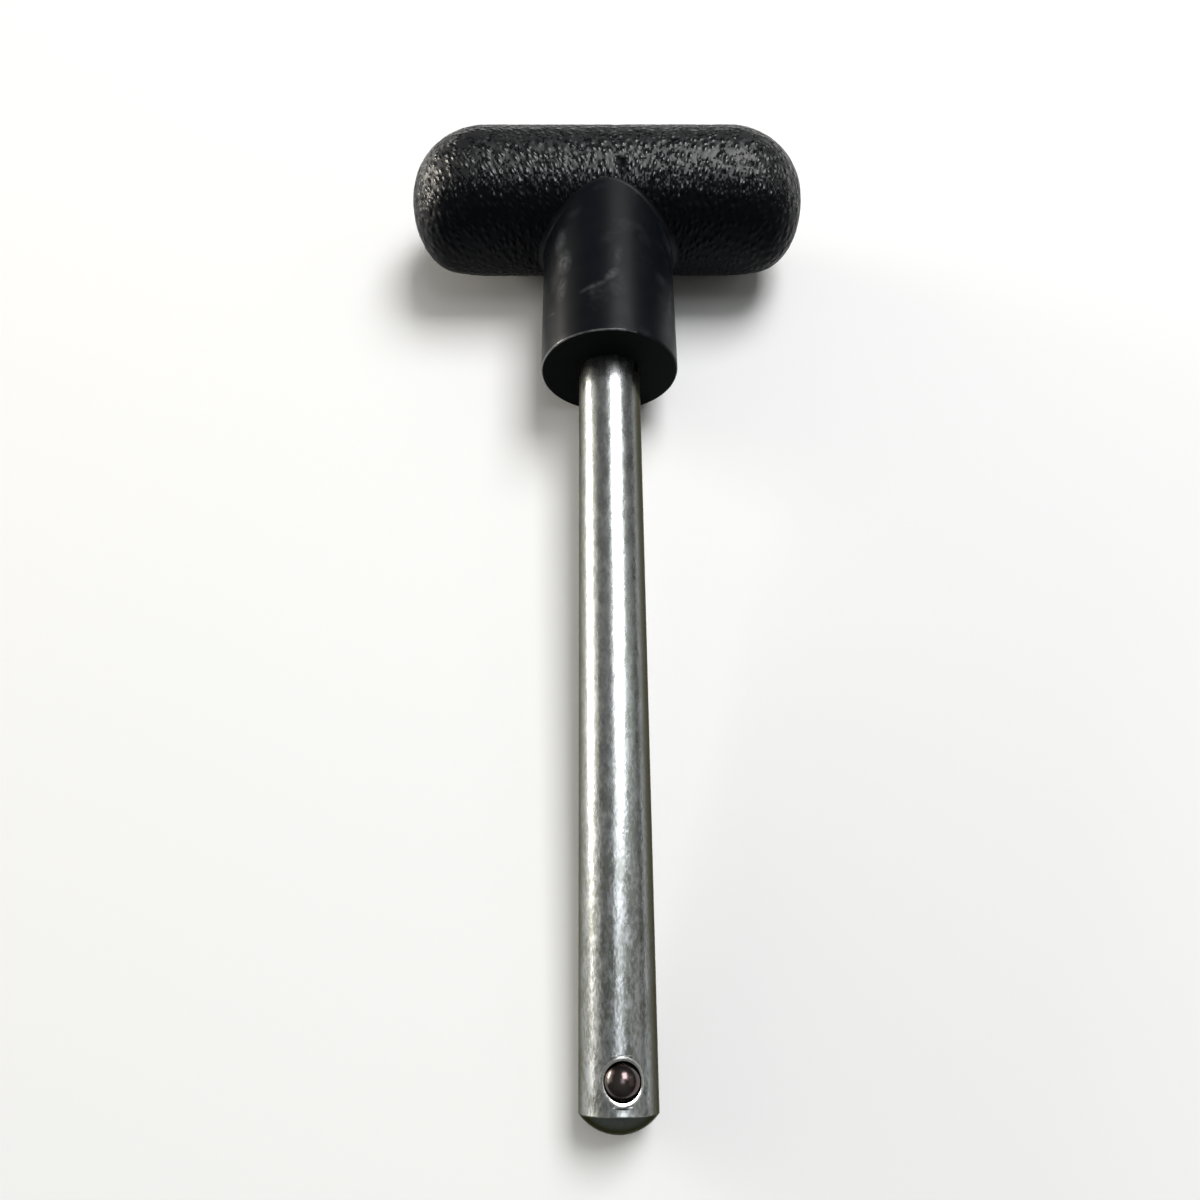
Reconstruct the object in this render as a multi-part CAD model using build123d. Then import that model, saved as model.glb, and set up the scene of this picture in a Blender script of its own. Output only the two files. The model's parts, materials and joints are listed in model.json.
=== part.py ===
from build123d import *
from math import asin, atan2, cos, degrees, hypot, pi, radians, sin, sqrt, tan
import os

# A weight stack pin: a T-shaped grip moulded round a steel shank, with a sprung ball near its tip.
# It is drawn hanging: the shank down the Z axis, the hub's end face at Z = 0, the bar along X and
# the ball towards -Y. At the end it is laid on its back, the way it comes to rest on a table.
# Lengths are in millimetres.

# Shank, with a crowned tip and an anchor end inside the grip
SHANK_DIA = 10.0
SHANK_REACH = 108.7
CROWN_HEIGHT = 2.4
ANCHOR_LENGTH = 40.0
ANCHOR_CHAMFER = 0.8

# Straight knurl and ring groove that lock the anchor end in the grip
KNURL_START = 14.0
KNURL_LENGTH = 12.0
KNURL_TEETH = 24
KNURL_DEPTH = 0.45
GROOVE_START = 31.0
GROOVE_WIDTH = 3.0
GROOVE_DEPTH = 0.9

# Grip: a round bar, a little deeper below, whose ends curve in sooner at the top than at the
# underside, on a round hub that flares a little towards its end face
BAR_DIA = 24.9
BAR_LENGTH = 69.1
BAR_RISE = 36.9
UNDERSIDE_DEPTH = 12.9
TOP_CORNER_REACH = 13.4
UNDERSIDE_CORNER_REACH = 7.2
END_SECTIONS = 8
HUB_FACE_DIA = 22.5
HUB_FLARE_ANGLE = 0.3
HUB_EDGE_RADIUS = 0.4
HUB_TO_BAR_FILLET = 1.0
GATE_DIMPLE_DIA = 1.9
GATE_DIMPLE_DEPTH = 0.35
GATE_DIMPLE_ANGLE = 12.0
GATE_DIMPLE_OFFSET = 1.2

# Ball, the bore across the shank that holds it, and the staking that narrows the bore's mouth.
# The bore is drilled a few degrees to one side of the bar's front.
BALL_DIA = 5.0
BALL_PROTRUSION = 0.7
BALL_TO_TIP_EDGE = 3.7
BALL_TURN = 5.0
BALL_CLEARANCE = 0.03
MOUTH_DIA = 4.8
MOUTH_BEVEL = 0.2
BORE_FLOOR = 1.6
STAKE_OFFSET = 2.8
STAKE_DEPTH = 0.22
STAKE_ANGLE = 84.0

# Coil spring under the ball
WIRE_DIA = 0.6
COIL_COUNT = 3.5
SPRING_SIDE_CLEARANCE = 0.15
SPRING_END_CLEARANCE = 0.03

shank_radius = SHANK_DIA / 2
bar_radius = BAR_DIA / 2
ball_radius = BALL_DIA / 2
mouth_radius = MOUTH_DIA / 2
bore_radius = ball_radius + BALL_CLEARANCE
ball_height = shank_radius + BALL_PROTRUSION - ball_radius
bore_floor_height = BORE_FLOOR - shank_radius
ball_level = BALL_TO_TIP_EDGE - SHANK_REACH
ball_turn = radians(BALL_TURN)

# In the ball's plane X runs across the shank, Y up the shank and Z out of it through the ball
ball_plane = Plane(
    origin=(0, 0, ball_level),
    x_dir=(cos(ball_turn), sin(ball_turn), 0),
    z_dir=(sin(ball_turn), -cos(ball_turn), 0),
)


def turned_blank():
    """Shank as turned: crowned tip, plain rod, ring groove and chamfered anchor end."""
    groove_radius = shank_radius - GROOVE_DEPTH
    tip = (0, -SHANK_REACH - CROWN_HEIGHT)
    tip_edge = (shank_radius, -SHANK_REACH)
    crown_radius = (shank_radius**2 + CROWN_HEIGHT**2) / (2 * CROWN_HEIGHT)
    half_turn = asin(shank_radius / crown_radius) / 2
    crown_middle = (crown_radius * sin(half_turn), tip[1] + crown_radius * (1 - cos(half_turn)))
    crown = ThreePointArc(tip, crown_middle, tip_edge)
    side = Polyline(
        tip_edge,
        (shank_radius, GROOVE_START),
        (groove_radius, GROOVE_START),
        (groove_radius, GROOVE_START + GROOVE_WIDTH),
        (shank_radius, GROOVE_START + GROOVE_WIDTH),
        (shank_radius, ANCHOR_LENGTH - ANCHOR_CHAMFER),
        (shank_radius - ANCHOR_CHAMFER, ANCHOR_LENGTH),
        (0, ANCHOR_LENGTH),
        tip,
    )
    return revolve(Plane.XZ * make_face(crown + side), axis=Axis.Z)


def knurl_grooves():
    """The V-grooves of the knurl, as a ring round the rod less a star-shaped core."""
    star_points = []
    for step in range(2 * KNURL_TEETH):
        radius = shank_radius - KNURL_DEPTH * (step % 2)
        angle = pi * step / KNURL_TEETH
        star_points.append((radius * cos(angle), radius * sin(angle)))
    band = Plane.XY.offset(KNURL_START)
    ring = extrude(band * Circle(shank_radius + KNURL_DEPTH), KNURL_LENGTH)
    star = extrude(band * Polygon(*star_points, align=None), KNURL_LENGTH)
    return ring - star


def ball_bore():
    """Blind bore with a flat floor, closed in round the ball to a mouth smaller than the ball."""
    outside = shank_radius + BALL_PROTRUSION
    seat_turn = asin(mouth_radius / bore_radius)
    middle_turn = (seat_turn + pi / 2) / 2
    wall_top = (bore_radius, ball_height)
    seat_middle = (bore_radius * sin(middle_turn), ball_height + bore_radius * cos(middle_turn))
    seat_edge = (mouth_radius, ball_height + bore_radius * cos(seat_turn))
    wall = Polyline((0, outside), (0, bore_floor_height), (bore_radius, bore_floor_height), wall_top)
    seat = ThreePointArc(wall_top, seat_middle, seat_edge)
    mouth = Polyline(seat_edge, (mouth_radius, outside), (0, outside))
    return ball_plane * revolve(Plane.XZ * make_face(wall + seat + mouth), axis=Axis.Z)


def stake_marks():
    """Two straight punch grooves across the shank, one on each side of the ball."""
    bottom = shank_radius - STAKE_DEPTH
    top = shank_radius + STAKE_DEPTH
    half_width = (top - bottom) * tan(radians(STAKE_ANGLE / 2))
    across = Plane.YZ.offset(-shank_radius)
    groove = Polygon((0, bottom), (half_width, top), (-half_width, top), align=None)
    offsets = (-STAKE_OFFSET, STAKE_OFFSET)
    return [ball_plane * extrude(across * Pos(offset, 0) * groove, SHANK_DIA) for offset in offsets]


def shank():
    """Steel shank: turned, knurled, bored across for the ball, bevelled round the ball and staked."""
    body = turned_blank() - knurl_grooves() - ball_bore()
    mouth_wall = [face for face in body.faces().filter_by(GeomType.CYLINDER) if is_mouth_wall(face)]
    rim = mouth_wall[0].edges().filter_by(GeomType.BSPLINE)
    return chamfer(rim, MOUTH_BEVEL) - stake_marks()


def is_mouth_wall(face):
    """Whether a round face is the wall of the bore's mouth, by its radius."""
    return abs(face.radius - mouth_radius) < BALL_CLEARANCE / 2


def detent_ball():
    """Hardened steel ball."""
    return ball_plane * Pos(0, 0, ball_height) * Sphere(ball_radius)


def detent_spring():
    """Compression spring between the bore's floor and the ball."""
    wire_radius = WIRE_DIA / 2
    coil_radius = bore_radius - SPRING_SIDE_CLEARANCE - wire_radius
    ball_to_coil = ball_radius + wire_radius + SPRING_END_CLEARANCE
    top = ball_height - sqrt(ball_to_coil**2 - coil_radius**2)
    bottom = bore_floor_height + SPRING_END_CLEARANCE + wire_radius
    pitch = (top - bottom) / COIL_COUNT
    path = Pos(0, 0, bottom) * Helix(pitch, top - bottom, coil_radius)
    wire_end = Plane(origin=path @ 0, z_dir=path % 0) * Circle(wire_radius)
    return ball_plane * sweep(wire_end, path=path, is_frenet=True)


def bar_section(x):
    """Section of the bar at a place along it: round above, and deeper below."""
    top_start = BAR_LENGTH / 2 - TOP_CORNER_REACH
    underside_start = BAR_LENGTH / 2 - UNDERSIDE_CORNER_REACH
    top_share = max(abs(x) - top_start, 0) / TOP_CORNER_REACH
    underside_share = max(abs(x) - underside_start, 0) / UNDERSIDE_CORNER_REACH
    width = bar_radius * sqrt(1 - top_share**2)
    depth = UNDERSIDE_DEPTH * sqrt(1 - underside_share**2)
    upper = EllipticalCenterArc((0, 0), width, width, 0, arc_size=180)
    lower = EllipticalCenterArc((0, 0), width, depth, 180, arc_size=180)
    place = Plane(origin=(x, 0, BAR_RISE), x_dir=(0, 1, 0), z_dir=(1, 0, 0))
    return place * make_face(upper + lower)


def bar_end(side):
    """Rounded end of the bar, lofted through sections that close in on its outermost point."""
    start = BAR_LENGTH / 2 - TOP_CORNER_REACH
    sections = []
    for step in range(END_SECTIONS):
        turn = pi / 2 * step / END_SECTIONS
        sections.append(bar_section(side * (start + TOP_CORNER_REACH * sin(turn))))
    return loft(sections + [Vertex(side * BAR_LENGTH / 2, 0, BAR_RISE)])


def crossbar():
    """Crossbar of the grip: a straight rod between two rounded ends."""
    straight_length = BAR_LENGTH - 2 * TOP_CORNER_REACH
    rod = extrude(bar_section(-straight_length / 2), straight_length)
    return rod + bar_end(-1) + bar_end(1)


def hub():
    """Slightly flared hub with a softened edge round its end face."""
    face_radius = HUB_FACE_DIA / 2
    top_radius = face_radius - BAR_RISE * tan(radians(HUB_FLARE_ANGLE))
    body = Pos(0, 0, BAR_RISE / 2) * Cone(face_radius, top_radius, BAR_RISE)
    return fillet(body.edges().sort_by(Axis.Z)[0], HUB_EDGE_RADIUS)


def gate_dimple():
    """Shallow round dimple that the moulding's gate left in the front of the bar, above the hub."""
    radius = (GATE_DIMPLE_DIA**2 / 4 + GATE_DIMPLE_DEPTH**2) / (2 * GATE_DIMPLE_DEPTH)
    reach = bar_radius - GATE_DIMPLE_DEPTH + radius
    angle = radians(GATE_DIMPLE_ANGLE)
    place = Pos(GATE_DIMPLE_OFFSET, -reach * cos(angle), BAR_RISE - reach * sin(angle))
    return place * Sphere(radius)


def grip():
    """One moulding: bar and hub blended together, round the shank's anchor end."""
    body = crossbar() + hub()
    hub_wall = body.faces().filter_by(GeomType.CONE)[0]
    body = fillet(hub_wall.edges().filter_by(GeomType.BSPLINE), HUB_TO_BAR_FILLET)
    return body - gate_dimple() - shank()


def tilt_onto(setback, height, radius):
    """Angle at which a rounded edge and the tip's edge both touch the table.

    The edge's centre of curvature is set back from the shank's axis and lies at a height above the
    hub's end face.
    """
    rise = setback - shank_radius
    span = height + SHANK_REACH
    return degrees(atan2(rise, span) + asin(radius / hypot(rise, span)))


def resting_tilt():
    """Angle between the shank and the table: the tip lies on it, and the hub's rim or the bar."""
    rim_setback = HUB_FACE_DIA / 2 - HUB_EDGE_RADIUS
    onto_rim = tilt_onto(rim_setback, HUB_EDGE_RADIUS, HUB_EDGE_RADIUS)
    onto_bar = tilt_onto(0, BAR_RISE, bar_radius)
    return max(onto_rim, onto_bar)


def resting_place(pieces):
    """Move that lays the pin on its back on Z = 0, with the origin under the middle of its box."""
    turn = Rot(resting_tilt() - 90, 0, 0)
    boxes = [(turn * piece).bounding_box() for piece in pieces]
    front = min(box.min.Y for box in boxes)
    back = max(box.max.Y for box in boxes)
    floor = min(box.min.Z for box in boxes)
    return Pos(0, -(front + back) / 2, -floor) * turn


def main():
    """Write each piece of the resting pin to its own file."""
    pieces = {
        "grip": grip(),
        "shank": shank(),
        "detent_ball": detent_ball(),
        "detent_spring": detent_spring(),
    }
    place = resting_place(pieces.values())
    os.makedirs("parts", exist_ok=True)
    for name, piece in pieces.items():
        export_step(place * piece, f"parts/{name}.step")


if __name__ == "__main__":
    main()
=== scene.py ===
import json
from math import pi, radians, tan

import bpy
import numpy as np
from mathutils import Matrix, Vector


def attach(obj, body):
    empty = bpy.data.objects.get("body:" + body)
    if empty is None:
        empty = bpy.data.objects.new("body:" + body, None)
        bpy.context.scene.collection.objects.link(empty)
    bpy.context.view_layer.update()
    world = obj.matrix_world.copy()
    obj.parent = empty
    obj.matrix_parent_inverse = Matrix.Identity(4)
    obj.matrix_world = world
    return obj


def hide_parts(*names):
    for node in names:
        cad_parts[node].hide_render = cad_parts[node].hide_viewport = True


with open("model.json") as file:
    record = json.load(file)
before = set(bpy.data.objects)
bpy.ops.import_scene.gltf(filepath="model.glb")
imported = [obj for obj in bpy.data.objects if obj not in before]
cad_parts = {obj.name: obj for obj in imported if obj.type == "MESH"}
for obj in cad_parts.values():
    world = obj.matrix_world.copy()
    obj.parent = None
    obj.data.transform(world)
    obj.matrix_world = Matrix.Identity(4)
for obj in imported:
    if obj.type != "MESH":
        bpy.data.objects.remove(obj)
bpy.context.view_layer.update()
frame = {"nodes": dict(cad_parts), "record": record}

# The pin's own frame: Z up the shank, X along the grip's bar, the bar's front towards -Y, and the origin
# in the middle of the hub's end face. Shapes are worked out there in millimetres, then laid in place.
MM = 0.001
mounts = {mount["name"]: mount for mount in frame["record"]["mounts"]}
shank_mount = mounts["shank"]
up_the_shank = -Vector(shank_mount["axis"])
along_the_bar = Vector((1, 0, 0))
half_clean_length = shank_mount["dims"]["length_mm"] / 2 * MM
face_middle = Vector(shank_mount["pos_m"]) + up_the_shank * half_clean_length
turn = Matrix((along_the_bar, up_the_shank.cross(along_the_bar), up_the_shank)).transposed()
PIN_FRAME = Matrix.Translation(face_middle) @ turn.to_4x4()
UPWARDS = np.array([0.0, 0.0, 1.0])

# Grip; the edge line is how far the hub's blend stands above the bar where they meet
BAR_RADIUS = 12.45
BAR_LENGTH = 69.1
BAR_RISE = 36.9
UNDERSIDE_DEPTH = 12.9
TOP_CORNER_REACH = 13.4
UNDERSIDE_CORNER_REACH = 7.2
SHANK_RADIUS = shank_mount["dims"]["r_mm"]
ANCHOR_LENGTH = 40.0
HUB_FACE_RADIUS = 11.25
HUB_FLARE = tan(radians(0.3))
HUB_EDGE_RADIUS = 0.4
HUB_TO_BAR_FILLET = 1.0
HUB_EDGE_LINE = 0.04

# Fineness of the meshes: points round each form, and rings up the parts of the hub's profile
HUB_SIDES = 200
HUB_FACE_RINGS = 8
HUB_EDGE_RINGS = 8
HUB_WALL_RINGS = 29
HUB_BLEND_RINGS = 12
BORE_SIDES = 96
LIP_SIDES = 120

# Finishes of the grip, by their places in its list of materials
HANDLED, SMOOTH, RUBBED, FLAT, DULL = range(5)

# Leather grain of the bar: pebbles longer round the bar than along it. Their reach and the spread of
# their seeds are in cells. The grain fades out between two distances from the hub's blend. The columns
# and rows of the bar's mesh are spaced to carry it.
PEBBLE_PITCH = 1.0
PEBBLE_LENGTH = 1.5
PEBBLE_REACH = 0.8
SEED_SPREAD = 0.75
PEBBLE_LEAN = 0.1
PEBBLE_LEAN_CHANGE = 0.35
LEAN_CHANGE_WIDTH = 10.0
GRAIN_DEPTH = 0.09
GRAIN_FADE_AT_HUB = (-0.1, 0.35)
GRAIN_COLUMN = 0.24
GRAIN_ROW = 0.36

# Gate dimple on the bar's front; the grain is back in full at so many of its radii
DIMPLE_OFFSET = 1.9
DIMPLE_DROP = 3.1
DIMPLE_RADIUS = 0.95
DIMPLE_DEPTH = 0.35
DIMPLE_SURROUND = 3

# Shine from handling, each pair from where it is nothing to where it is full: by the height above the
# bar's axis, the distance from its middle, the dimple's radii and the height on a pebble
SHINE_FROM_BELOW = (-9.0, -2.5)
SHINE_FROM_ABOVE = (10.0, 5.0)
SHINE_FROM_ENDS = (34.2, 31.0)
SHINE_FROM_DIMPLE = (0.6, 1.7)
SHINE_UP_A_PEBBLE = (0.1, 0.6)
SHINE_BETWEEN_CROWNS = 0.35

# Pale marks on the hub, rubbed scuffs and one painted highlight: middle, half sizes, turn and strength
HUB_MARKS = [
    ((-2.4, -10.8, 8.8), (3.1, 0.65, 2.5), radians(17), 0.5),
    ((0.4, -11.1, 10.9), (2.0, 1.0, 2.5), radians(50), 0.8),
    # Painted highlight: a pale streak down the middle of the hub's front
    ((1.4, -11.0, 14.6), (0.8, 2.6, 2.5), radians(-8), 0.3),
    ((-8.0, -7.6, 20.6), (1.3, 3.0, 2.5), radians(-5), 0.6),
    ((-7.4, -8.2, 15.8), (1.7, 3.2, 2.5), radians(10), 0.75),
    ((-7.7, -8.0, 10.5), (1.2, 2.8, 2.5), radians(-4), 0.5),
    ((-9.3, -6.0, 6.9), (1.1, 0.35, 2.5), radians(-35), 0.6),
    ((10.0, -4.8, 8.9), (0.35, 3.4, 2.5), 0.0, 0.3),
]

# Levels on the shank: the tip's edge, and the two between which its mottling fades towards the grip
TIP_EDGE_LEVEL = -108.7
MOTTLED_LEVEL = -95.0
EVEN_LEVEL = -45.0

# Mouth of the ball's bore, with the lip pressed in over the ball. The lip's slope swells by a hair and
# its outer rim sinks by one. It is low on its side towards the grip, over a stretch in radians.
BALL_LEVEL = -105.0
BALL_TURN = radians(5.0)
LIP_INNER_RADIUS = 2.32
LIP_CREST_RADIUS = 2.62
LIP_OUTER_RADIUS = 2.8
LIP_SINK = 0.07
LIP_RISE = 0.03
LIP_HAIR = 0.01
LIP_UNDERCUT = 0.1
LIP_GAP_SHARE = 0.95
LIP_GAP_STRETCH = 0.3

# Camera, in the pin's own frame and in millimetres
CAMERA_PLACE = (-3.0, -135.32, -96.38)
CAMERA_AIM = (-1.833, 0.0, -40.527)
CAMERA_ROLL = radians(0.4476)
CAMERA_LENS = 29.4

# Soft lights: name, way from the pin, distance, width, length, radiance and colour, with sizes in metres
SOFTBOXES = [
    ("overhead_softbox", (0.30, 0.40, 0.87), 0.9, 0.40, 0.50, 10.2, (1.0, 1.0, 1.0)),
    ("overhead_card", (0.10, -0.05, 0.99), 0.9, 0.30, 0.36, 2.0, (0.94, 0.97, 1.0)),
    ("left_window", (-0.90, 0.36, 0.13), 0.9, 0.12, 0.42, 33.0, (1.0, 0.93, 0.82)),
    ("left_window_foot", (-0.90, -0.02, 0.13), 0.9, 0.12, 0.34, 3.5, (1.0, 0.95, 0.86)),
    ("left_card", (-0.90, 0.33, 0.30), 0.95, 0.55, 0.90, 0.8, (1.0, 0.95, 0.86)),
    ("right_card", (0.84, 0.0, 0.54), 0.95, 0.50, 0.90, 0.25, (1.0, 0.98, 0.9)),
    ("right_lamp", (0.75, 0.20, 0.58), 0.9, 0.10, 0.10, 2.0, (0.8, 1.0, 0.9)),
]
FLOOR_HALF_SIZE = 10.0


def from_pin_frame(place):
    """A place in the pin's own frame, in millimetres, as a place in the row frame, in metres."""
    return PIN_FRAME @ (Vector(place) * MM)


def points_from_pin_frame(points):
    """The same for an array of points, returned as a list."""
    turned = points * MM @ np.array(PIN_FRAME.to_3x3()).T + np.array(PIN_FRAME.translation)
    return turned.tolist()


def smooth_step(low, high, value):
    """0 at low, 1 at high and 3t^2 - 2t^3 between them, held beyond both."""
    share = np.clip((value - low) / (high - low), 0, 1)
    return share * share * (3 - 2 * share)


def unit_circle(sides):
    """Points round a circle of radius 1 across the shank."""
    turns = np.linspace(0, 2 * pi, sides, endpoint=False)
    return np.stack([np.cos(turns), np.sin(turns), 0 * turns], axis=-1)


def shares(count):
    """Equal steps up to 1, without the 0, to multiply rings with."""
    return np.linspace(0, 1, count + 1)[1:, None, None]


def add_mesh(name, points, faces):
    """New piece from points in the row frame and faces."""
    mesh = bpy.data.meshes.new(name)
    mesh.from_pydata(points, [], faces)
    piece = bpy.data.objects.new(name, mesh)
    bpy.context.scene.collection.objects.link(piece)
    return piece


def closed_shell(name, first_pole, rings, last_pole, finish):
    """Closed mesh of rings of points between two poles, with its faces turned outwards.

    rings is an array of rings by points by xyz. Neighbouring rings are joined by quads, and the first
    and the last ring by fans to the poles. finish is the number of the faces' material, or an array of
    numbers: a row for each strip of faces, fans included, and a column for each face of a strip.
    """
    ring_count, ring_size, _ = rings.shape
    points = np.vstack([rings.reshape(-1, 3), first_pole, last_pole])
    index = np.arange(ring_count * ring_size).reshape(ring_count, ring_size)
    after = np.roll(index, -1, axis=1)
    quads = np.stack([index[:-1], after[:-1], after[1:], index[1:]], axis=-1).reshape(-1, 4)
    first, last = ring_count * ring_size, ring_count * ring_size + 1
    start_fan = np.stack([np.full(ring_size, first), after[0], index[0]], axis=-1)
    end_fan = np.stack([np.full(ring_size, last), index[-1], after[-1]], axis=-1)
    faces = quads.tolist() + start_fan.tolist() + end_fan.tolist()
    shell = add_mesh(name, points_from_pin_frame(points), faces)
    strips = np.broadcast_to(finish, (ring_count + 1, ring_size))
    finishes = np.concatenate([strips[1:-1].ravel(), strips[0], strips[-1]])
    shell.data.polygons.foreach_set("material_index", finishes.astype(np.int32))
    shell.data.update()
    return shell


def closed_ring(name, rings):
    """Closed ring-shaped mesh: each ring is joined to the next by quads, and the last to the first."""
    ring_count, ring_size, _ = rings.shape
    index = np.arange(ring_count * ring_size).reshape(ring_count, ring_size)
    after, next_ring = np.roll(index, -1, axis=1), np.roll(index, -1, axis=0)
    quads = np.stack([index, after, np.roll(next_ring, -1, axis=1), next_ring], axis=-1).reshape(-1, 4)
    return add_mesh(name, points_from_pin_frame(rings.reshape(-1, 3)), quads.tolist())


def combine(piece, tool, operation):
    """Joins the tool to the piece, or cuts it out, and leaves the result as the piece's own mesh."""
    modifier = piece.modifiers.new(operation.lower(), "BOOLEAN")
    modifier.operation = operation
    modifier.solver = "MANIFOLD"
    modifier.object = tool
    evaluated = piece.evaluated_get(bpy.context.evaluated_depsgraph_get())
    result = bpy.data.meshes.new_from_object(evaluated)
    piece.modifiers.clear()
    piece.data = result
    bpy.data.objects.remove(tool)


def shade_smooth(piece, sharp_angle):
    """Smooth shading, with a sharp line where faces meet at more than the angle."""
    piece.data.polygons.foreach_set("use_smooth", np.ones(len(piece.data.polygons), bool))
    piece.data.set_sharp_from_angle(angle=sharp_angle)


def cell_points(cells):
    """Three numbers from 0 to 1 for each whole-numbered cell, the same each run, by folding its bits."""
    key = cells[..., 0] * 73856093 ^ cells[..., 1] * 19349663 ^ cells[..., 2] * 83492791
    parts = []
    for factor in (1274126177, 2246822519, 3266489917):
        mixed = (key & 0xFFFFFFFF) * factor & 0xFFFFFFFF
        mixed = (mixed ^ mixed >> 15) * 668265263 & 0xFFFFFFFF
        parts.append((mixed >> 8 & 0xFFFF) / 65536)
    return np.stack(parts, axis=-1)


def pebbles(points):
    """Height of the pebbles at each point, from 0 between them to 1 on a pebble's crown.

    Space is split into cells with one seed near the middle of each. The height is a paraboloid of the
    distance to the nearest seed, so neighbouring pebbles meet in a crease. The pebbles lean one way on
    the left half and a little the other way on the right, and slow waves bend their rows.
    """
    x, y, height = points[:, 0], points[:, 1], points[:, 2] - BAR_RISE
    lean = PEBBLE_LEAN - PEBBLE_LEAN_CHANGE * np.tanh(x / LEAN_CHANGE_WIDTH)
    wave = 0.3 * np.sin(height * 1.3 + x * 0.31) + 0.22 * np.sin(height * 2.3 - x * 0.57 + y)
    along = (x + lean * height * np.sign(-y) + wave) / PEBBLE_PITCH
    places = np.stack([along, (y + 0.2 * np.sin(x * 1.1)) / PEBBLE_LENGTH, height / PEBBLE_LENGTH], axis=1)
    corner = np.floor(places).astype(np.int64)
    nearest = np.full(len(places), np.inf)
    for step in np.ndindex(3, 3, 3):
        cells = corner + np.array(step) - 1
        seeds = cells + 0.5 + SEED_SPREAD * (cell_points(cells) - 0.5)
        nearest = np.minimum(nearest, np.linalg.norm(seeds - places, axis=1))
    return np.clip(1 - (nearest / PEBBLE_REACH)**2, 0, 1)


def from_dimple(points):
    """Each point's distance from the dimple's middle, seen from the front, and endless on the back."""
    away = np.hypot(points[:, 0] - DIMPLE_OFFSET, points[:, 2] - BAR_RISE + DIMPLE_DROP)
    return np.where(points[:, 1] < 0, away, np.inf)


def handled(points, crowns):
    """Share of the bar's faces that hands have rubbed shiny, as a product of smooth steps.

    It is large on the front and nothing on the underside, the far side, the very ends and in the gate
    dimple, and larger on the crowns than between them.
    """
    beside, height = np.abs(points[:, 0]), points[:, 2] - BAR_RISE
    share = smooth_step(*SHINE_FROM_BELOW, height) * smooth_step(*SHINE_FROM_ABOVE, height)
    share = share * smooth_step(*SHINE_FROM_ENDS, beside)
    share = share * smooth_step(*SHINE_FROM_DIMPLE, from_dimple(points) / DIMPLE_RADIUS)
    on_crowns = smooth_step(*SHINE_UP_A_PEBBLE, crowns)
    return share * (SHINE_BETWEEN_CROWNS + (1 - SHINE_BETWEEN_CROWNS) * on_crowns)


def grain(points, crowns):
    """How far each point of the bar is set in, in millimetres, by its leather grain.

    The depth varies slowly. The grain runs out at the hub's blend and round the gate dimple.
    """
    x, y, height = points[:, 0], points[:, 1], points[:, 2] - BAR_RISE
    depth = GRAIN_DEPTH * (0.85 + 0.15 * np.sin(x * 0.9 + height * 0.7))
    hub_radius = HUB_FACE_RADIUS - HUB_FLARE * BAR_RISE
    beside_hub = np.hypot(x, y) - hub_radius - HUB_TO_BAR_FILLET
    clear_of_hub = np.where(height < 0, smooth_step(*GRAIN_FADE_AT_HUB, beside_hub), 1)
    surround = smooth_step(DIMPLE_RADIUS, DIMPLE_SURROUND * DIMPLE_RADIUS, from_dimple(points))
    clear_of_dimple = 0.25 + 0.75 * surround
    return depth * (1 - crowns) * clear_of_hub * clear_of_dimple


def dimple(points):
    """How far each point of the bar is set in by the gate dimple: a bowl, deepest in its middle."""
    return DIMPLE_DEPTH * np.clip(1 - (from_dimple(points) / DIMPLE_RADIUS)**2, 0, 1)


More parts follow.
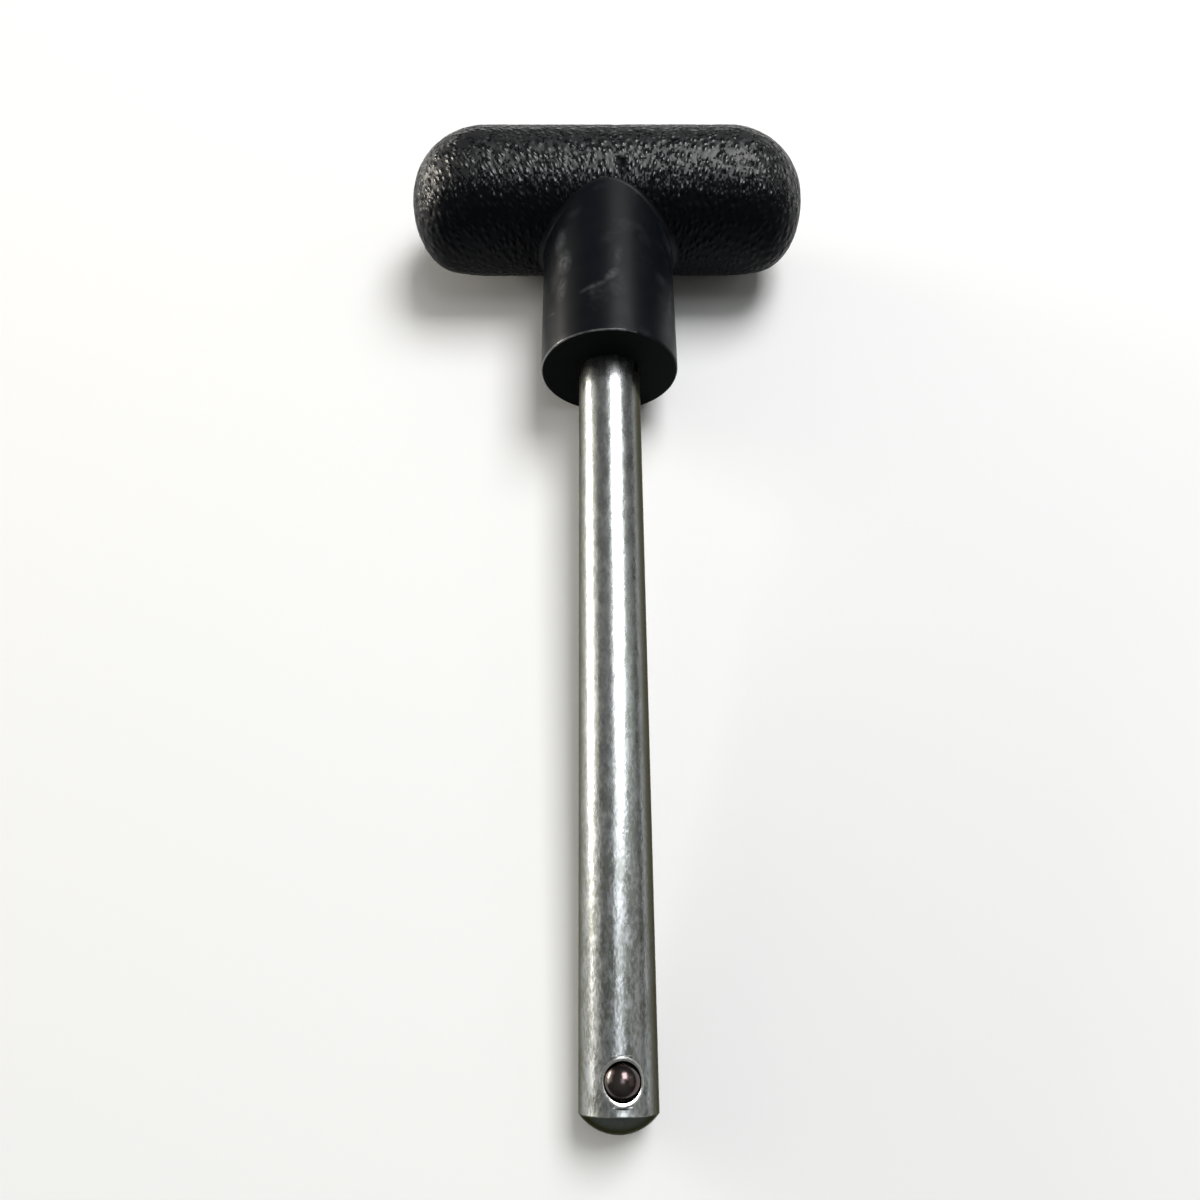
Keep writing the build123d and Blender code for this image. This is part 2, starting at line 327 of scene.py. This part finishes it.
def bar_shell():
    """Bar of the grip, with its grain as real relief.

    One parameter runs along the bar and the other round it. The section is half an ellipse above the
    axis and half a deeper one below it. Both close in to the bar's ends along quarter ellipses, the
    lower one later. Each point is then set in along the normal, which is the slope of
    (y / width)^2 + (z / depth)^2. Single faces are handled or dull, by a fixed number for each.
    """
    straight = BAR_LENGTH / 2 - TOP_CORNER_REACH
    end_columns = round(pi / 2 * TOP_CORNER_REACH / GRAIN_COLUMN)
    middle_columns = round(2 * straight / GRAIN_COLUMN)
    rows = round(2 * pi * BAR_RADIUS / GRAIN_ROW)
    turns = np.linspace(0, pi / 2, end_columns, endpoint=False)
    end_x = straight + TOP_CORNER_REACH * np.sin(turns)
    x = np.concatenate([-end_x[:0:-1], np.linspace(-straight, straight, middle_columns), end_x[1:]])
    lower_straight = BAR_LENGTH / 2 - UNDERSIDE_CORNER_REACH
    top_share = np.clip(np.abs(x) - straight, 0, None) / TOP_CORNER_REACH
    low_share = np.clip(np.abs(x) - lower_straight, 0, None) / UNDERSIDE_CORNER_REACH
    width = BAR_RADIUS * np.sqrt(1 - top_share**2)
    depth = UNDERSIDE_DEPTH * np.sqrt(1 - low_share**2)
    width_slope = -np.sign(x) * BAR_RADIUS**2 * top_share / TOP_CORNER_REACH / width
    depth_slope = -np.sign(x) * UNDERSIDE_DEPTH**2 * low_share / UNDERSIDE_CORNER_REACH / depth
    angle = np.linspace(0, 2 * pi, rows, endpoint=False)
    above = np.sin(angle)[None, :] >= 0
    reach = np.where(above, width[:, None], depth[:, None])
    reach_slope = np.where(above, width_slope[:, None], depth_slope[:, None])
    y = width[:, None] * np.cos(angle)
    z = reach * np.sin(angle)
    slope_x = -(y**2 * (width_slope / width**3)[:, None] + z**2 * reach_slope / reach**3)
    normals = np.stack([slope_x, y / width[:, None]**2, z / reach**2], axis=-1).reshape(-1, 3)
    normals /= np.linalg.norm(normals, axis=1)[:, None]
    points = np.stack([np.repeat(x[:, None], rows, axis=1), y, z + BAR_RISE], axis=-1).reshape(-1, 3)
    crowns = pebbles(points)
    face_numbers = cell_points(np.indices((len(x), rows, 1)).reshape(3, -1).T)[:, 0]
    finish = np.where(handled(points, crowns) > face_numbers, HANDLED, DULL).reshape(len(x), rows)
    # One strip of faces more than rings, so the first ring gives its finishes to two strips
    finish = np.vstack([finish[:1], finish])
    points -= normals * (grain(points, crowns) + dimple(points))[:, None]
    left_pole, right_pole = (-BAR_LENGTH / 2, 0, BAR_RISE), (BAR_LENGTH / 2, 0, BAR_RISE)
    return closed_shell("grip_moulding", left_pole, points.reshape(len(x), rows, 3), right_pole, finish)


def rolled_ball(outwards):
    """Centres of a ball rolled along the corner of hub and bar, and the bar's normals towards them.

    A centre is one fillet radius from the hub's wall. It is one fillet radius and the edge line from the
    bar, as read from the offset of the bar's lower half ellipse.
    """
    turns = np.linspace(0, pi / 2, 400)
    section_y, section_z = BAR_RADIUS * np.cos(turns), -UNDERSIDE_DEPTH * np.sin(turns)
    slope_y, slope_z = section_y / BAR_RADIUS**2, section_z / UNDERSIDE_DEPTH**2
    steepness = np.hypot(slope_y, slope_z)
    offset = HUB_TO_BAR_FILLET + HUB_EDGE_LINE
    offset_y = section_y + offset * slope_y / steepness
    offset_z = section_z + offset * slope_z / steepness
    hub_radius = HUB_FACE_RADIUS - HUB_FLARE * (BAR_RISE - UNDERSIDE_DEPTH)
    centres = (hub_radius + HUB_TO_BAR_FILLET) * outwards
    side = np.sign(centres[:, 1])
    turn_at = np.interp(-np.abs(centres[:, 1]), -offset_y, turns)
    centres[:, 2] = BAR_RISE + np.interp(turn_at, turns, offset_z)
    normal_y = np.cos(turn_at) / BAR_RADIUS * side
    normal_z = -np.sin(turn_at) / UNDERSIDE_DEPTH
    bar_normals = np.stack([0 * turn_at, normal_y, normal_z], axis=-1)
    bar_normals /= np.linalg.norm(bar_normals, axis=1)[:, None]
    return centres, bar_normals


def hub_shell():
    """Hub of the grip, from its end face to the blend with the bar.

    One parameter runs round the hub and the other up its profile: end face, rounded edge, flared wall
    and blend. The blend is the inner side of a ball rolled along the corner, on an arc that turns from
    the wall's normal to the bar's. It ends a hair above the bar, which leaves the fine line round the
    grain, and then goes inside. The rubbed band along the edge, pale partly as painted highlight,
    narrows to nothing towards the right.
    """
    outwards = unit_circle(HUB_SIDES)
    face_edge = HUB_FACE_RADIUS - HUB_EDGE_RADIUS
    inside_bore = SHANK_RADIUS - 1
    face = np.linspace(inside_bore, face_edge, HUB_FACE_RINGS)[:, None, None] * outwards
    edge_turns = pi / 2 * shares(HUB_EDGE_RINGS)
    edge = (face_edge + HUB_EDGE_RADIUS * np.sin(edge_turns)) * outwards
    edge = edge + (HUB_EDGE_RADIUS - HUB_EDGE_RADIUS * np.cos(edge_turns)) * UPWARDS
    centres, bar_normals = rolled_ball(outwards)
    wall_share = shares(HUB_WALL_RINGS)
    wall_foot = HUB_FACE_RADIUS * outwards + HUB_EDGE_RADIUS * UPWARDS
    wall_head = centres - HUB_TO_BAR_FILLET * outwards
    wall = wall_foot * (1 - wall_share) + wall_head * wall_share
    opening = np.arccos(np.clip((outwards * bar_normals).sum(axis=1), -1, 1))[:, None]
    arc_share = shares(HUB_BLEND_RINGS)
    arc = np.sin((1 - arc_share) * opening) * outwards + np.sin(arc_share * opening) * bar_normals
    blend = centres - HUB_TO_BAR_FILLET * arc / np.sin(opening)
    inside = blend[-1:] - 0.5 * bar_normals
    rings = np.concatenate([face, edge, wall, blend, inside])
    finish = np.full((len(rings) + 1, HUB_SIDES), SMOOTH)
    band_start, band_end = len(face) + 2, len(face) + len(edge)
    finish[:band_start] = FLAT
    # The rubbed band's pale tone is partly a painted highlight on the rim: full on the left, narrowing to
    # nothing towards the right
    across_band = np.abs(np.linspace(-1, 1, band_end - band_start))[:, None]
    rubbed = across_band < smooth_step(0.5, 0.0, outwards[:, 0])
    finish[band_start:band_end] = np.where(rubbed, RUBBED, SMOOTH)
    return closed_shell("hub", (0, 0, 0), rings, (0, 0, BAR_RISE), finish)


def anchor_bore():
    """Round bore for the shank, from outside the end face to the anchor's end."""
    heights = np.array([-1.0, ANCHOR_LENGTH])[:, None, None] * UPWARDS
    rings = SHANK_RADIUS * unit_circle(BORE_SIDES) + heights
    return closed_shell("bore", (0, 0, -1), rings, (0, 0, ANCHOR_LENGTH), SMOOTH)


def add_grip(finishes):
    """The moulding: grained bar joined to the smooth hub, and bored for the shank.

    All three carry the whole list of finishes, so the faces keep theirs when they are combined.
    """
    piece, hub, bore = bar_shell(), hub_shell(), anchor_bore()
    for shell in (piece, hub, bore):
        for material in finishes:
            shell.data.materials.append(material)
    combine(piece, hub, "UNION")
    combine(piece, bore, "DIFFERENCE")
    shade_smooth(piece, sharp_angle=radians(55))
    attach(piece, "pin")
    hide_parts("grip")


def add_mouth_lip(finish):
    """Thin lip of the shank round the mouth, pressed inwards over the ball.

    One parameter runs round the mouth and the other round the lip's section. A point at radius r and
    angle a lies r cos a along the tangent and r sin a up the shank, on the shank's round wall, whose
    height there is the square root of R^2 - (r cos a)^2, plus the section's own rise. The lip hardly
    rises in the middle of its side towards the grip, by a bell curve of the angle.
    """
    slope_radius = (LIP_INNER_RADIUS + LIP_CREST_RADIUS) / 2
    slope_rise = (LIP_RISE - LIP_SINK) / 2 + LIP_HAIR
    section = np.array([
        [LIP_INNER_RADIUS, -LIP_SINK],
        [slope_radius, slope_rise],
        [LIP_CREST_RADIUS, LIP_RISE],
        [LIP_OUTER_RADIUS, -LIP_HAIR],
        [LIP_OUTER_RADIUS - LIP_UNDERCUT, -LIP_SINK - LIP_UNDERCUT],
        [LIP_INNER_RADIUS + LIP_UNDERCUT, -LIP_SINK - LIP_UNDERCUT],
    ])
    radii, rises = section[:, :1], section[:, 1:]
    turns = np.linspace(0, 2 * pi, LIP_SIDES, endpoint=False)
    across = radii * np.cos(turns)
    along = radii * np.sin(turns)
    rise_share = 1 - LIP_GAP_SHARE * np.exp(-((turns - pi / 2) / LIP_GAP_STRETCH)**2)
    out = np.sqrt(SHANK_RADIUS**2 - across**2) + np.where(rises > 0, rise_share, 1) * rises
    x = out * np.sin(BALL_TURN) + across * np.cos(BALL_TURN)
    y = -out * np.cos(BALL_TURN) + across * np.sin(BALL_TURN)
    piece = closed_ring("mouth_lip", np.stack([x, y, BALL_LEVEL + along], axis=-1)[::-1])
    piece.data.materials.append(finish)
    shade_smooth(piece, sharp_angle=radians(40))
    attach(piece, "pin")


def new_material(name, colour, roughness, metallic=0.0, sheen=0.5):
    """Material with its shader's plain values set; returns it with its node tree and its shader."""
    material = bpy.data.materials.new(name)
    material.use_nodes = True
    shader = material.node_tree.nodes["Principled BSDF"]
    shader.inputs["Base Color"].default_value = (*colour, 1.0)
    shader.inputs["Roughness"].default_value = roughness
    shader.inputs["Metallic"].default_value = metallic
    shader.inputs["Specular IOR Level"].default_value = sheen
    return material, material.node_tree, shader


def object_place(tree, stretch=(1.0, 1.0, 1.0)):
    """Object coordinates, stretched."""
    coordinates = tree.nodes.new("ShaderNodeTexCoord")
    mapping = tree.nodes.new("ShaderNodeMapping")
    mapping.inputs["Scale"].default_value = stretch
    tree.links.new(coordinates.outputs["Object"], mapping.inputs["Vector"])
    return mapping.outputs["Vector"]


def coordinate(tree, place, axis):
    """One coordinate of a place, by the letter of its axis."""
    split = tree.nodes.new("ShaderNodeSeparateXYZ")
    tree.links.new(place, split.inputs["Vector"])
    return split.outputs[axis]


def noise(tree, place, waves, detail=3.0, roughness=0.5):
    """Soft noise; waves is how many fit in a metre."""
    texture = tree.nodes.new("ShaderNodeTexNoise")
    texture.inputs["Scale"].default_value = waves
    texture.inputs["Detail"].default_value = detail
    texture.inputs["Roughness"].default_value = roughness
    tree.links.new(place, texture.inputs["Vector"])
    return texture.outputs["Fac"]


def spread(tree, value, low, high, to_low, to_high, curve="LINEAR"):
    """Takes a value's stretch from low to high over to another stretch, held at its ends."""
    ranged = tree.nodes.new("ShaderNodeMapRange")
    ranged.interpolation_type = curve
    ranged.inputs["From Min"].default_value = low
    ranged.inputs["From Max"].default_value = high
    ranged.inputs["To Min"].default_value = to_low
    ranged.inputs["To Max"].default_value = to_high
    tree.links.new(value, ranged.inputs["Value"])
    return ranged.outputs["Result"]


def arithmetic(tree, operation, *values):
    """One step of arithmetic; each value is a number or another node's result."""
    node = tree.nodes.new("ShaderNodeMath")
    node.operation = operation
    for socket, value in zip(node.inputs, values):
        if isinstance(value, (int, float)):
            socket.default_value = value
        else:
            tree.links.new(value, socket)
    return node.outputs["Value"]


def blend_colours(tree, share, first, second):
    """Colour between two, by a share from 0 to 1; each is a colour or another node's result."""
    mix = tree.nodes.new("ShaderNodeMix")
    mix.data_type = "RGBA"
    for socket, colour in ((mix.inputs["A"], first), (mix.inputs["B"], second)):
        if isinstance(colour, tuple):
            socket.default_value = (*colour, 1.0)
        else:
            tree.links.new(colour, socket)
    tree.links.new(share, mix.inputs["Factor"])
    return mix.outputs["Result"]


def smudge(tree, middle, half_sizes, turn, strength):
    """Soft oval mark, with middle and sizes in millimetres.

    It has its full strength up to three tenths of its size, and none at its edge.
    """
    coordinates = tree.nodes.new("ShaderNodeTexCoord")
    oval = tree.nodes.new("ShaderNodeMapping")
    oval.vector_type = "TEXTURE"
    oval.inputs["Location"].default_value = from_pin_frame(middle)
    oval.inputs["Rotation"].default_value = (0.0, 0.0, turn)
    oval.inputs["Scale"].default_value = [size * MM for size in half_sizes]
    tree.links.new(coordinates.outputs["Object"], oval.inputs["Vector"])
    away = tree.nodes.new("ShaderNodeVectorMath")
    away.operation = "LENGTH"
    tree.links.new(oval.outputs["Vector"], away.inputs[0])
    return spread(tree, away.outputs["Value"], 0.3, 1.0, strength, 0.0)


def level_on_pin(tree):
    """Height up the shank from the hub's end face, in millimetres."""
    coordinates = tree.nodes.new("ShaderNodeTexCoord")
    up = tree.nodes.new("ShaderNodeVectorMath")
    up.operation = "DOT_PRODUCT"
    up.inputs[1].default_value = up_the_shank
    tree.links.new(coordinates.outputs["Object"], up.inputs[0])
    height = arithmetic(tree, "SUBTRACT", up.outputs["Value"], face_middle.dot(up_the_shank))
    return arithmetic(tree, "DIVIDE", height, MM)


def uneven_roughness(tree, shader, place, waves, low, high):
    """Roughness that wanders softly between two levels."""
    roughness = spread(tree, noise(tree, place, waves), 0.3, 0.7, low, high)
    tree.links.new(roughness, shader.inputs["Roughness"])


def add_bump(tree, shader, height, strength, distance):
    """Fine relief on the shader's normal; distance is in metres."""
    bump = tree.nodes.new("ShaderNodeBump")
    bump.inputs["Strength"].default_value = strength
    bump.inputs["Distance"].default_value = distance
    tree.links.new(height, bump.inputs["Height"])
    tree.links.new(bump.outputs["Normal"], shader.inputs["Normal"])


def pebble_relief(tree):
    """Height of the fine pebbles, 0 to 1: round crowns and steep sides, by the distance to their seeds.

    They lean one way on the left half and the other way on the right, and fade out round the dimple.
    """
    place = tree.nodes.new("ShaderNodeTexCoord").outputs["Object"]
    x, y, z = (coordinate(tree, place, axis) for axis in "XYZ")
    side = arithmetic(tree, "TANH", arithmetic(tree, "DIVIDE", x, LEAN_CHANGE_WIDTH * MM))
    lean = arithmetic(tree, "MULTIPLY_ADD", side, -PEBBLE_LEAN_CHANGE, PEBBLE_LEAN)
    up_the_bar = arithmetic(tree, "SUBTRACT", y, from_pin_frame((0, 0, BAR_RISE)).y)
    along = arithmetic(tree, "MULTIPLY_ADD", up_the_bar, lean, x)
    join = tree.nodes.new("ShaderNodeCombineXYZ")
    tree.links.new(arithmetic(tree, "DIVIDE", along, PEBBLE_PITCH * MM), join.inputs["X"])
    tree.links.new(arithmetic(tree, "DIVIDE", y, PEBBLE_LENGTH * MM), join.inputs["Y"])
    tree.links.new(arithmetic(tree, "DIVIDE", z, PEBBLE_LENGTH * MM), join.inputs["Z"])
    cells = tree.nodes.new("ShaderNodeTexVoronoi")
    cells.inputs["Scale"].default_value = 1.0
    cells.inputs["Randomness"].default_value = 0.85
    tree.links.new(join.outputs["Vector"], cells.inputs["Vector"])
    relief = spread(tree, cells.outputs["Distance"], 0.68, 0.05, 0.0, 1.0, curve="SMOOTHSTEP")
    away = tree.nodes.new("ShaderNodeVectorMath")
    away.operation = "DISTANCE"
    away.inputs[1].default_value = from_pin_frame((DIMPLE_OFFSET, -BAR_RADIUS, BAR_RISE - DIMPLE_DROP))
    tree.links.new(place, away.inputs[0])
    dimple_edge = DIMPLE_RADIUS * MM
    clear = spread(tree, away.outputs["Value"], dimple_edge, DIMPLE_SURROUND * DIMPLE_RADIUS * MM, 0.2, 1.0)
    return arithmetic(tree, "MULTIPLY", relief, clear)


def grained_black_plastic(name, sheen, crown_roughness):
    """Bar: black plastic, its pebbles a little shinier on their crowns than between them."""
    material, tree, shader = new_material(name, (0.003, 0.0035, 0.005), 0.3, sheen=sheen)
    relief = pebble_relief(tree)
    roughness = spread(tree, relief, 0.3, 0.9, 0.42, crown_roughness)
    tree.links.new(roughness, shader.inputs["Roughness"])
    add_bump(tree, shader, relief, strength=1.0, distance=0.00019)
    return material


def smooth_black_plastic():
    """Hub: smooth satin black plastic with cloudy scuffs on its left, rubbed streaks on its front and a
    painted highlight streak down its middle.
    """
    plain_black = (0.004, 0.005, 0.007)
    material, tree, shader = new_material("smooth_black_plastic", plain_black, 0.38, sheen=0.11)
    place = object_place(tree)
    marks = spread(tree, noise(tree, place, 170, detail=4.0), 0.55, 0.75, 0.0, 0.3)
    # Scuffs and streaks from HUB_MARKS, one of them a painted highlight
    for middle, half_sizes, turn, strength in HUB_MARKS:
        marks = arithmetic(tree, "MAXIMUM", marks, smudge(tree, middle, half_sizes, turn, strength))
    cloudy = spread(tree, noise(tree, place, 1300), 0.35, 0.65, 0.35, 1.0)
    marks = arithmetic(tree, "MULTIPLY", marks, cloudy)
    colour = blend_colours(tree, marks, (0.003, 0.004, 0.006), (0.075, 0.08, 0.088))
    tree.links.new(colour, shader.inputs["Base Color"])
    uneven_roughness(tree, shader, place, 420, 0.33, 0.42)
    add_bump(tree, shader, noise(tree, place, 2600, detail=2.0), strength=0.2, distance=0.00002)
    return material


def rubbed_highlit_black_plastic():
    """Hub's outer edge: rubbed shiny by the plates it stops against, and a little pale, partly from rubbing
    and partly as painted highlight.
    """
    worn_highlit_black = (0.05, 0.052, 0.056)
    material, tree, shader = new_material("rubbed_highlit_black_plastic", worn_highlit_black, 0.28, sheen=1.0)
    # Pale patches: partly rubbing, partly painted highlight on the rim
    wear_and_highlight = spread(tree, noise(tree, object_place(tree), 600), 0.35, 0.65, 0.0, 1.0)
    colour = blend_colours(tree, wear_and_highlight, (0.01, 0.011, 0.012), (0.1, 0.104, 0.11))
    tree.links.new(colour, shader.inputs["Base Color"])
    return material


def flat_black_plastic():
    """Hub's end face: flat black, with hardly any sheen."""
    material, tree, shader = new_material("flat_black_plastic", (0.003, 0.004, 0.004), 0.6, sheen=0.03)
    relief = noise(tree, object_place(tree), 2600, detail=2.0)
    add_bump(tree, shader, relief, strength=0.15, distance=0.00002)
    return material


def zinc_plating():
    """Shank: bright zinc, mottled and slightly uneven, so that its reflections have ragged edges.

    It is more mottled towards the tip. Painted shade darkens both its sides, its right side more, and its
    crowned end, standing in for dark reflections there. The wall turns up a hair at the tip's edge.
    """
    material, tree, shader = new_material("zinc_plating", (0.42, 0.43, 0.415), 0.25, metallic=1.0)
    shader.inputs["Specular Tint"].default_value = (0.35, 0.34, 0.3, 1.0)
    place = object_place(tree, stretch=(1.0, 0.45, 1.0))
    level = level_on_pin(tree)
    x = coordinate(tree, object_place(tree), "X")
    shank_radius = SHANK_RADIUS * MM

    # Mottled colour, then painted shade over it on the sides, the right side and the crowned end
    speckles = noise(tree, place, 2900)
    patches = arithmetic(tree, "ADD", noise(tree, place, 520, detail=4.0, roughness=0.6), speckles)
    patches = spread(tree, patches, 0.86, 1.14, -0.5, 0.5)
    mottling = spread(tree, level, MOTTLED_LEVEL, EVEN_LEVEL, 1.0, 0.4)
    patches = arithmetic(tree, "MULTIPLY_ADD", patches, mottling, 0.5)
    colour = blend_colours(tree, patches, (0.265, 0.28, 0.265), (0.52, 0.54, 0.56))
    # Painted shade along both sides, standing in for dark reflections there
    beside = arithmetic(tree, "ABSOLUTE", arithmetic(tree, "DIVIDE", x, shank_radius))
    colour = blend_colours(tree, spread(tree, beside, 0.66, 0.95, 0.0, 0.75), colour, (0.2, 0.2, 0.17))
    # Painted shade on the right side, darker still
    painted_shade_right = spread(tree, x, 0.68 * shank_radius, 0.84 * shank_radius, 0.0, 0.85)
    colour = blend_colours(tree, painted_shade_right, colour, (0.1, 0.1, 0.08))
    # Painted shade on the crowned end of the tip
    crown = spread(tree, level, TIP_EDGE_LEVEL - 0.15, TIP_EDGE_LEVEL + 0.05, 1.0, 0.0)
    colour = blend_colours(tree, crown, colour, (0.05, 0.056, 0.052))
    tree.links.new(colour, shader.inputs["Base Color"])
    uneven_roughness(tree, shader, place, 900, 0.23, 0.34)

    # Relief: slow unevenness, grit that fades with the mottling, and the turned-up edge
    unevenness = noise(tree, place, 750, detail=4.0, roughness=0.6)
    grit = spread(tree, level, MOTTLED_LEVEL, EVEN_LEVEL, 0.7, 0.1)
    unevenness = arithmetic(tree, "MULTIPLY_ADD", speckles, grit, unevenness)
    near_edge = spread(tree, level, TIP_EDGE_LEVEL + 0.9, TIP_EDGE_LEVEL, 0.0, 1.0)
    turned_up = arithmetic(tree, "POWER", near_edge, 2.0)
    relief = arithmetic(tree, "MULTIPLY_ADD", turned_up, 1.5, unevenness)
    add_bump(tree, shader, relief, strength=0.65, distance=0.00006)
    return material


def bright_lip():
    """Lip of the mouth: zinc rubbed bright where the tool pressed it."""
    material, tree, shader = new_material("bright_lip", (0.7, 0.71, 0.7), 0.25, metallic=1.0)
    place = object_place(tree)
    uneven_roughness(tree, shader, place, 2500, 0.16, 0.32)
    add_bump(tree, shader, noise(tree, place, 1500), strength=0.4, distance=0.00004)
    return material


def polished_steel_painted_dark():
    """Ball: polished steel with its colour painted dark brown as a painted dark reflection, slightly uneven
    in tint and polish.
    """
    # Painted reflection: the dark brown colour stands in for the dark room the ball reflects
    material, tree, shader = new_material("polished_steel_painted_dark", (0.11, 0.08, 0.078), 0.12, metallic=1.0)
    place = object_place(tree)
    tint = spread(tree, noise(tree, place, 420), 0.42, 0.58, 0.0, 1.0)
    colour = blend_colours(tree, tint, (0.115, 0.085, 0.088), (0.13, 0.12, 0.112))
    tree.links.new(colour, shader.inputs["Base Color"])
    uneven_roughness(tree, shader, place, 1800, 0.15, 0.24)
    return material


def spring_wire():
    """Spring: drawn wire, uneven in polish."""
    material, tree, shader = new_material("spring_wire", (0.45, 0.45, 0.44), 0.3, metallic=1.0)
    uneven_roughness(tree, shader, object_place(tree), 3000, 0.22, 0.42)
    return material


def white_paper():
    """Floor: plain white paper with hardly any sheen."""
    return new_material("white_paper", (0.95, 0.95, 0.95), 0.9, sheen=0.1)[0]


def dress(node, material):
    """Gives a CAD node its finish."""
    mesh = frame["nodes"][node].data
    mesh.materials.clear()
    mesh.materials.append(material)


def add_camera():
    """Camera at the photograph's place, looking from beyond the tip towards the grip."""
    camera = bpy.data.objects.new("camera", bpy.data.cameras.new("camera"))
    bpy.context.scene.collection.objects.link(camera)
    camera.data.lens = CAMERA_LENS
    camera.data.sensor_width = 36.0
    camera.data.clip_start = 0.01
    place, aim = from_pin_frame(CAMERA_PLACE), from_pin_frame(CAMERA_AIM)
    forward = (aim - place).normalized()
    right = forward.cross(up_the_shank).normalized()
    level = Matrix((right, right.cross(forward), -forward)).transposed()
    camera.matrix_world = Matrix.Translation(place) @ level.to_4x4() @ Matrix.Rotation(-CAMERA_ROLL, 4, "Z")
    bpy.context.scene.camera = camera


def add_softbox(name, way, distance, width, length, radiance, colour):
    """Rectangular soft light: way is from the pin to the light, and length runs along the shank."""
    light = bpy.data.lights.new(name, "AREA")
    light.shape = "RECTANGLE"
    light.size = width
    light.size_y = length
    light.energy = radiance * pi * width * length
    light.color = colour
    lamp = bpy.data.objects.new(name, light)
    bpy.context.scene.collection.objects.link(lamp)
    back = Vector(way).normalized()
    side = Vector((0, 1, 0)).cross(back).normalized()
    facing = Matrix((side, back.cross(side), back)).transposed()
    lamp.matrix_world = Matrix.Translation(back * distance) @ facing.to_4x4()
    lamp.visible_camera = False


def add_studio():
    """The soft lights and a dim room, whose walls are darker than its ceiling."""
    for softbox in SOFTBOXES:
        add_softbox(*softbox)
    world = bpy.data.worlds.new("room")
    bpy.context.scene.world = world
    world.use_nodes = True
    tree = world.node_tree
    way = tree.nodes.new("ShaderNodeTexCoord").outputs["Generated"]
    ceiling = spread(tree, coordinate(tree, way, "Z"), 0.0, 0.9, 0.0, 1.0)
    colour = blend_colours(tree, ceiling, (0.06, 0.06, 0.057), (0.21, 0.214, 0.203))
    tree.links.new(colour, tree.nodes["Background"].inputs["Color"])


def add_floor():
    """Plain white floor."""
    half = FLOOR_HALF_SIZE
    corners = [(-half, -half, 0), (half, -half, 0), (half, half, 0), (-half, half, 0)]
    floor = add_mesh("floor", corners, [(0, 1, 2, 3)])
    floor.data.materials.append(white_paper())


handled_plastic = grained_black_plastic("handled_black_plastic", 0.5, 0.2)
dull_plastic = grained_black_plastic("dull_black_plastic", 0.06, 0.34)
dress("grip", handled_plastic)
dress("shank", zinc_plating())
dress("detent_ball", polished_steel_painted_dark())
dress("detent_spring", spring_wire())
add_grip([
    handled_plastic,
    smooth_black_plastic(),
    rubbed_highlit_black_plastic(),
    flat_black_plastic(),
    dull_plastic,
])
add_mouth_lip(bright_lip())

bpy.context.scene.view_settings.view_transform = "Standard"
add_camera()
add_studio()
add_floor()
